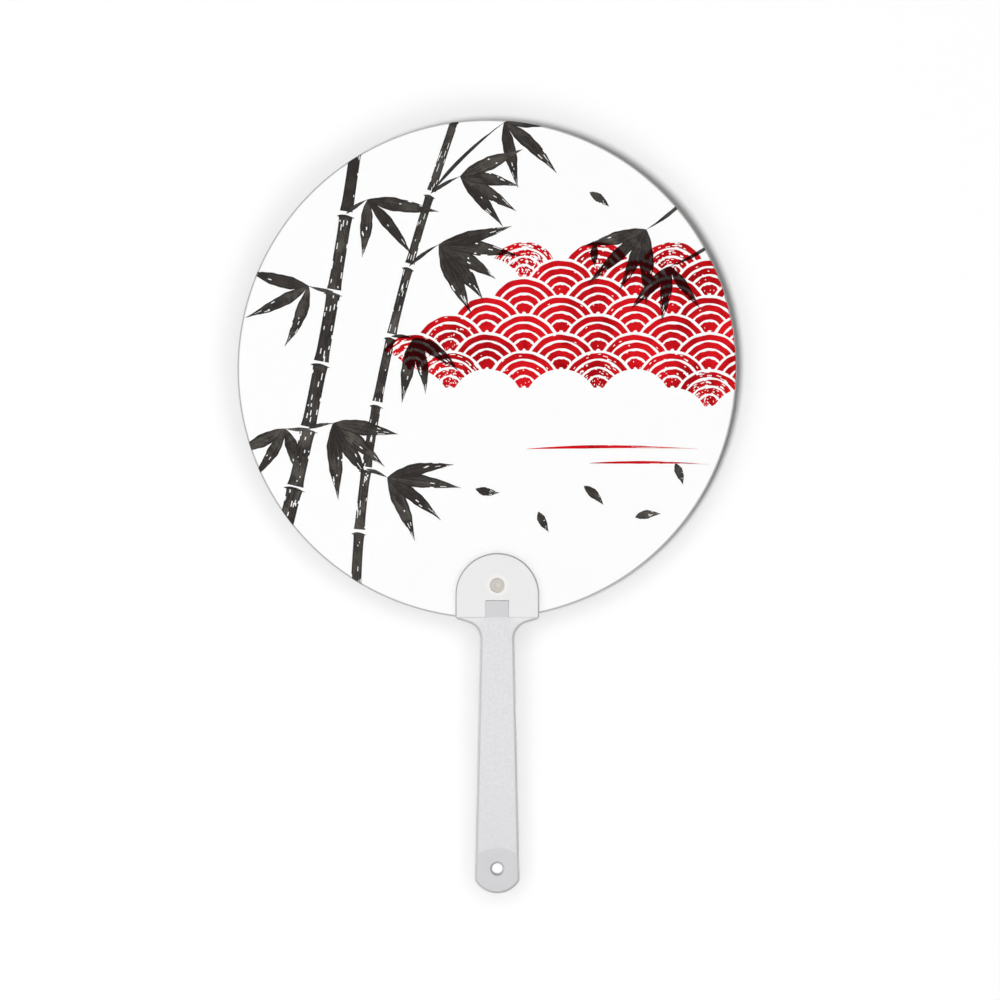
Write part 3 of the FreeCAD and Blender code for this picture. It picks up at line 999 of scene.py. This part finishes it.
class FAN_OT_dress_blade(bpy.types.Operator):
    """Gives the blade's board and its two sheets their looks"""

    bl_idname = "fan.dress_blade"
    bl_label = "Dress blade"

    def execute(self, context):
        colours = context.scene.fan_materials
        assign("blade_core", cut_board(colours))
        assign("front_print_sheet", coated_sheet("front_sheet_look", colours))
        assign("rear_print_sheet", coated_sheet("rear_sheet_look", colours))
        return {"FINISHED"}


class FAN_OT_print_red(bpy.types.Operator):
    """Prints the red waves and lines on both faces"""

    bl_idname = "fan.print_red"
    bl_label = "Print red"

    def execute(self, context):
        inks = context.scene.fan_print
        material = red_ink(inks)
        draw = np.random.default_rng(PRINT_SEED + 1)
        waves = wave_patches(inks)
        lines = stroke_patches(RED_LINES, draw, LINE_DRYNESS)
        add_film_pair("wave_print", [waves], inks.red_film, material)
        add_film_pair("line_print", [lines], inks.red_film, material)
        return {"FINISHED"}


class FAN_OT_print_dark(bpy.types.Operator):
    """Prints the bamboo on both faces"""

    bl_idname = "fan.print_dark"
    bl_label = "Print bamboo"

    def execute(self, context):
        inks = context.scene.fan_print
        material = charcoal_ink(inks)
        draw = np.random.default_rng(PRINT_SEED + 2)
        canes = cane_patches(draw)
        twigs = stroke_patches(twig_strokes() + knot_strokes(), draw, TWIG_DRYNESS)
        leaves = stroke_patches(leaf_strokes(inks, draw), draw, LEAF_DRYNESS)
        add_film_pair("cane_print", canes, inks.dark_film, material)
        add_film_pair("twig_print", [twigs], TWIG_LAYER * inks.dark_film, material)
        add_film_pair("leaf_print", [leaves], LEAF_LAYER * inks.dark_film, material)
        return {"FINISHED"}


def floor_material():
    """White paper floor. It is seen from its front only and not edge on, lets the lights behind it
    through, and is open behind the hang hole."""
    material, tree, shader = new_material("floor_look")
    place = object_place(tree)
    tooth = noise(tree, place, scale=900.0, detail=2.0)
    shade(tree, shader, mix_colours(tree, tooth, (0.962,) * 3, (0.968,) * 3), roughness=0.9)
    shader.inputs["Specular IOR Level"].default_value = 0.0
    clear = tree.nodes.new("ShaderNodeBsdfTransparent")
    behind = add_node(tree, "ShaderNodeNewGeometry").outputs["Backfacing"]
    shadow = add_node(tree, "ShaderNodeLightPath").outputs["Is Shadow Ray"]
    edge_on = smooth_step(tree, add_node(tree, "ShaderNodeLayerWeight").outputs["Facing"], 0.85, 0.95)
    from_hole = distance_from_axis(tree, place, 0.0, HANG_HOLE_Z)
    opening = math_node(tree, "LESS_THAN", from_hole, FLOOR_OPENING)
    unseen = larger(tree, larger(tree, larger(tree, behind, shadow), edge_on), opening)
    mixed = add_node(tree, "ShaderNodeMixShader", None, {0: unseen})
    tree.links.new(shader.outputs["BSDF"], mixed.inputs[1])
    tree.links.new(clear.outputs["BSDF"], mixed.inputs[2])
    output = next(node for node in tree.nodes if node.type == "OUTPUT_MATERIAL")
    tree.links.new(mixed.outputs["Shader"], output.inputs["Surface"])
    return material


def soft_light(name, power, size, place, target, bounces=1, glossy=True):
    """A round soft light at a place, turned to a target and not seen by the camera. Its light bounces only a
    few times, and one that is not glossy gives no highlights."""
    data = bpy.data.lights.new(name, "AREA")
    data.shape = "DISK"
    data.size = size
    data.energy = power
    data.cycles.max_bounces = bounces
    data.cycles.use_multiple_importance_sampling = False
    light = bpy.data.objects.new(name, data)
    light.location = place
    light.rotation_euler = (target - place).to_track_quat("-Z", "Y").to_euler()
    light.visible_camera = False
    light.visible_glossy = glossy
    bpy.context.scene.collection.objects.link(light)
    return light


def node_collection(name, nodes):
    """A collection of CAD nodes, for the lights that treat them apart."""
    collection = bpy.data.collections.new(name)
    for node in nodes:
        collection.objects.link(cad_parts[node])
    return collection


class FAN_OT_build_stage(bpy.types.Operator):
    """Makes the floor behind the fan, the lights, the surroundings and the camera"""

    bl_idname = "fan.build_stage"
    bl_label = "Build stage"

    def execute(self, context):
        stage = context.scene.fan_stage
        middle = Vector((stage.view_x, 0.0, stage.view_z))
        self.add_floor(stage, middle)
        self.add_key(stage)
        self.add_fill(stage, middle)
        for name, power, offset in REAR_LIGHTS:
            soft_light(name, power, REAR_LIGHT_SIZE, middle + Vector(offset), middle, bounces=0)
        self.add_side_lights(middle)
        self.set_surroundings(context.scene)
        self.add_camera(context.scene, stage, middle)
        return {"FINISHED"}

    def add_floor(self, stage, middle):
        """A square grid behind the fan, which leans back upwards: its gap to the fan's middle plane grows
        evenly with the height, through the gaps at the tip and at the blade's centre"""
        steps = np.linspace(-FLOOR_REACH, FLOOR_REACH, FLOOR_STEPS)
        across, up = np.meshgrid(steps, steps, indexing="ij")
        height = middle.z + up
        lean = (stage.blade_gap - stage.tip_gap) / (BLADE_Z - HANDLE_LOW.z)
        gap = stage.tip_gap + lean * (height - HANDLE_LOW.z)
        places = np.stack([middle.x + across, gap, height], axis=-1)
        index = np.arange(across.size).reshape(1, *across.shape)
        quads = np.stack(cell_corners(index), axis=-1).reshape(-1, 4)
        mesh = bpy.data.meshes.new("floor")
        mesh.from_pydata(places.reshape(-1, 3).tolist(), [], quads.tolist())
        mesh.materials.append(floor_material())
        floor = bpy.data.objects.new("floor", mesh)
        floor.visible_diffuse = False
        floor.visible_glossy = False
        bpy.context.scene.collection.objects.link(floor)

    def add_key(self, stage):
        """The light whose shadow shows beside the blade. Only the rear sheet casts it"""
        centre = Vector((BLADE_X, FRONT_FACE, BLADE_Z))
        sideways = math.sin(stage.key_tilt)
        travel = Vector(
            (sideways * math.cos(stage.key_turn), math.cos(stage.key_tilt), sideways * math.sin(stage.key_turn))
        )
        place = centre - travel * stage.key_distance
        key = soft_light("key_light", stage.key_power, stage.key_size, place, centre, glossy=False)
        key.light_linking.blocker_collection = node_collection("key_light_blockers", ["rear_print_sheet"])

    def add_fill(self, stage, middle):
        """Soft lights in a ring round the view, like the panels of a light tent"""
        forward = stage.fill_distance * math.cos(stage.fill_spread)
        reach = stage.fill_distance * math.sin(stage.fill_spread)
        centre = middle + Vector((FILL_X, -forward, FILL_Z))
        power = stage.fill_power / FILL_COUNT
        for index in range(FILL_COUNT):
            turn = 2 * math.pi * index / FILL_COUNT
            place = centre + reach * Vector((math.cos(turn), 0, math.sin(turn)))
            soft_light(f"fill_light_{index + 1}", power, FILL_SIZE, place, middle)

    def add_side_lights(self, middle):
        """Lights in the blade's plane, which reach only the CAD nodes of the fan"""
        lit = node_collection("side_light_receivers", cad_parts)
        for name, side in SIDE_LIGHTS:
            place = middle + Vector((SIDE_LIGHT_DISTANCE * side, 0, 0))
            light = soft_light(name, SIDE_LIGHT_POWER, SIDE_LIGHT_SIZE, place, middle, bounces=0)
            light.light_linking.receiver_collection = lit

    def set_surroundings(self, scene):
        """A world that the camera sees as white and that lights the fan only faintly"""
        world = bpy.data.worlds.new("studio")
        world.use_nodes = True
        tree = world.node_tree
        tree.nodes.clear()
        seen = add_node(tree, "ShaderNodeLightPath").outputs["Is Camera Ray"]
        inputs = {"Value": seen, "To Min": SURROUND_GLOW, "To Max": 1.0}
        strength = add_node(tree, "ShaderNodeMapRange", None, inputs)
        inputs = {"Color": (1.0, 1.0, 1.0, 1.0), "Strength": strength}
        background = add_node(tree, "ShaderNodeBackground", None, inputs)
        output = tree.nodes.new("ShaderNodeOutputWorld")
        tree.links.new(background.outputs["Background"], output.inputs["Surface"])
        world.cycles.max_bounces = 0
        scene.world = world
        scene.view_settings.view_transform = "Standard"
        scene.view_settings.look = "None"

    def add_camera(self, scene, stage, middle):
        """A long lens straight in front, so far off that the view has its width at the blade's front"""
        data = bpy.data.cameras.new("camera")
        data.lens = stage.lens
        data.sensor_width = SENSOR_WIDTH
        camera = bpy.data.objects.new("camera", data)
        distance = stage.view_width * stage.lens / SENSOR_WIDTH
        camera.location = middle + Vector((0, FRONT_FACE - distance, 0))
        camera.rotation_euler = (math.radians(90), 0, 0)
        scene.collection.objects.link(camera)
        scene.camera = camera


class FAN_PT_build(bpy.types.Panel):
    """Lists the steps that dress the fan, and their settings"""

    bl_idname = "FAN_PT_build"
    bl_label = "Hand fan"
    bl_space_type = "VIEW_3D"
    bl_region_type = "UI"
    bl_category = "Fan"

    def draw(self, context):
        for step in STEPS:
            self.layout.operator(step.bl_idname)
        for settings in (context.scene.fan_print, context.scene.fan_materials, context.scene.fan_stage):
            box = self.layout.box()
            for name in settings.__annotations__:
                box.prop(settings, name)


SETTINGS = {
    "fan_print": FanPrintSettings,
    "fan_materials": FanMaterialSettings,
    "fan_stage": FanStageSettings,
}
STEPS = (
    FAN_OT_dress_plastics,
    FAN_OT_dress_blade,
    FAN_OT_print_red,
    FAN_OT_print_dark,
    FAN_OT_build_stage,
)


def register():
    for name, settings in SETTINGS.items():
        bpy.utils.register_class(settings)
        setattr(bpy.types.Scene, name, bpy.props.PointerProperty(type=settings))
    for step in STEPS:
        bpy.utils.register_class(step)
    bpy.utils.register_class(FAN_PT_build)


def unregister():
    bpy.utils.unregister_class(FAN_PT_build)
    for step in reversed(STEPS):
        bpy.utils.unregister_class(step)
    for name, settings in SETTINGS.items():
        delattr(bpy.types.Scene, name)
        bpy.utils.unregister_class(settings)


def main():
    """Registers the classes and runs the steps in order."""
    register()
    bpy.ops.fan.dress_plastics()
    bpy.ops.fan.dress_blade()
    bpy.ops.fan.print_red()
    bpy.ops.fan.print_dark()
    bpy.ops.fan.build_stage()


if __name__ == "__main__":
    main()
